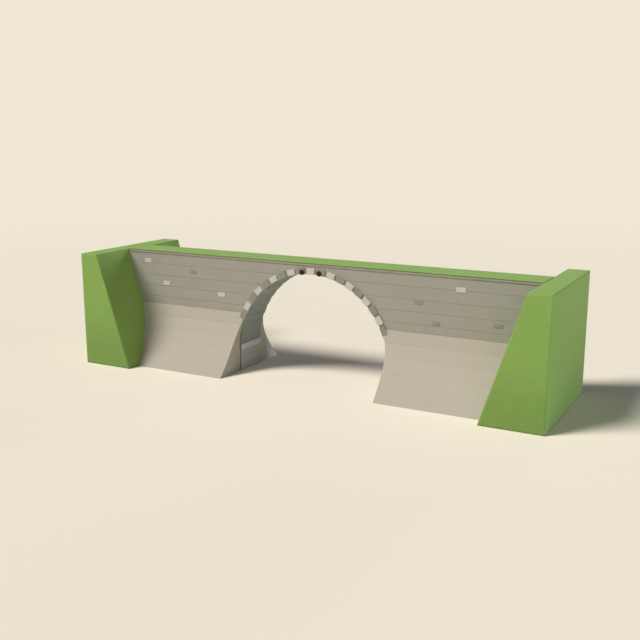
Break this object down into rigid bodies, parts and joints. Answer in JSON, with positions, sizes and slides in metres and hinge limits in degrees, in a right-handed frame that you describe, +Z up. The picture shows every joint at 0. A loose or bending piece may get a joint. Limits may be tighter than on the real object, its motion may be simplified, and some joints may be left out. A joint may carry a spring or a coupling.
{
  "type": "single-arch stone bridge",
  "caption": "Narrow single-arch stone bridge with turf deck, walls that spread towards the ground, ringed archway and turf-faced earth end banks.",
  "frame": {"origin": "on the ground at the middle of the bridge, half way between the two faces", "axes": "+X along the deck, -Y towards the front face, +Z up"},
  "size_m": [20.08, 5.68, 4.82],
  "materials": {
    "bank_turf": "rough turf over packed earth",
    "deck_turf": "short turf",
    "inner_stone": "rough, damp and shaded",
    "ledge_stone": "dressed stone",
    "lower_stone": "coursed rubble, dry",
    "upper_stone": "coursed rubble, dry",
    "light_stone": "dressed pale stone",
    "dark_stone": "dressed brown stone",
    "coping_stone": "weathered stone",
    "rubble": "packed rubble",
    "iron": "rusted iron"
  },
  "bodies": {
    "root": {"west_bank": "bank_turf", "east_bank": "bank_turf", "west_jamb": "inner_stone", "east_jamb": "inner_stone", "west_abutment": "rubble", "east_abutment": "rubble", "arch_barrel": "inner_stone", "front_west_batter": "lower_stone", "front_east_batter": "lower_stone", "back_west_batter": "lower_stone", "back_east_batter": "lower_stone", "front_west_wall": "upper_stone", "front_east_wall": "upper_stone", "back_west_wall": "upper_stone", "back_east_wall": "upper_stone", "front_ring_bed": "upper_stone", "back_ring_bed": "upper_stone", "front_keystone": "light_stone", "back_keystone": "light_stone", "front_light_ring_stones": "light_stone", "back_light_ring_stones": "light_stone", "front_dark_ring_stones": "dark_stone", "back_dark_ring_stones": "dark_stone", "front_west_tie_plate": "iron", "front_east_tie_plate": "iron", "back_west_tie_plate": "iron", "back_east_tie_plate": "iron", "west_ledge": "ledge_stone", "east_ledge": "ledge_stone", "west_fill": "rubble", "east_fill": "rubble", "front_coping": "coping_stone", "back_coping": "coping_stone", "turf_deck": "deck_turf"}
  },
  "joints": []
}
